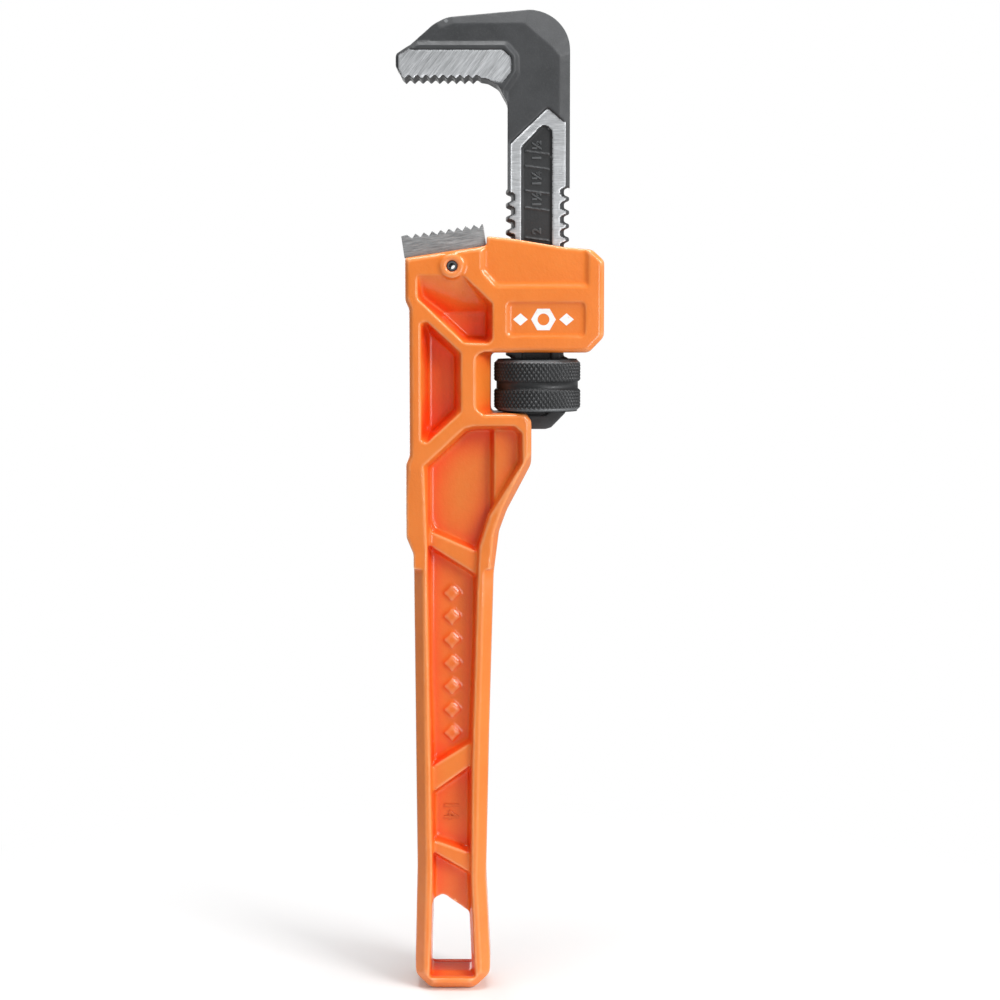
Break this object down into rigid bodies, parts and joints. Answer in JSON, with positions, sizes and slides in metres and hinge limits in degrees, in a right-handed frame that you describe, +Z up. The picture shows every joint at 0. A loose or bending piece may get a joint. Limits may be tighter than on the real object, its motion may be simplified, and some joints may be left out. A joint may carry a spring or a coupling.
{
  "type": "pipe wrench",
  "caption": "Straight pipe wrench: cast handle with housing, sliding hook jaw moved by a knurled nut, and a pinned heel jaw with slanted teeth.",
  "frame": {"origin": "centre of the flat end face of the handle, on the wrench's mid-plane", "axes": "+Z runs up the handle towards the jaws; the jaws open towards -X; the front side faces -Y, so +Y is the thin direction"},
  "size_m": [0.0742, 0.0314, 0.3557],
  "materials": {
    "casting_paint": "glossy enamel over a cast surface",
    "hook_steel": "dark oxide forging, ground bright at the teeth",
    "heel_steel": "ground, hardened",
    "black_oxide": "black oxide, lightly oiled",
    "spring_steel": "blued spring steel"
  },
  "bodies": {
    "handle_body": {"handle": "casting_paint", "heel_jaw": "heel_steel", "heel_jaw_pin": "black_oxide"},
    "rocker": {"flat_spring": "spring_steel", "spring_rivet": "spring_steel", "coil_spring": "spring_steel"},
    "hook": {"hook_jaw": "hook_steel"},
    "nut": {"adjusting_nut": "black_oxide"}
  },
  "joints": [
    {"name": "jaw_rock", "type": "hinge", "parent": "handle_body", "child": "rocker", "pos_m": [0.0196, 0, 0.234], "axis": [0, -1, 0], "range_deg": [0, 3], "stiffness_Nm_per_rad": 4, "springref_deg": -8.02},
    {"name": "jaw_travel", "type": "slide", "parent": "rocker", "child": "hook", "axis": [0, 0, 1], "range_m": [-0.049, 0.006]},
    {"name": "nut_spin", "type": "hinge", "parent": "rocker", "child": "nut", "pos_m": [0.031, 0, 0.2222], "axis": [0, 0, 1], "range_deg": [-448, 3653]}
  ],
  "couplings": [
    {"joint": "nut_spin", "follows": "jaw_travel", "rad_per_m": -1300.9}
  ]
}
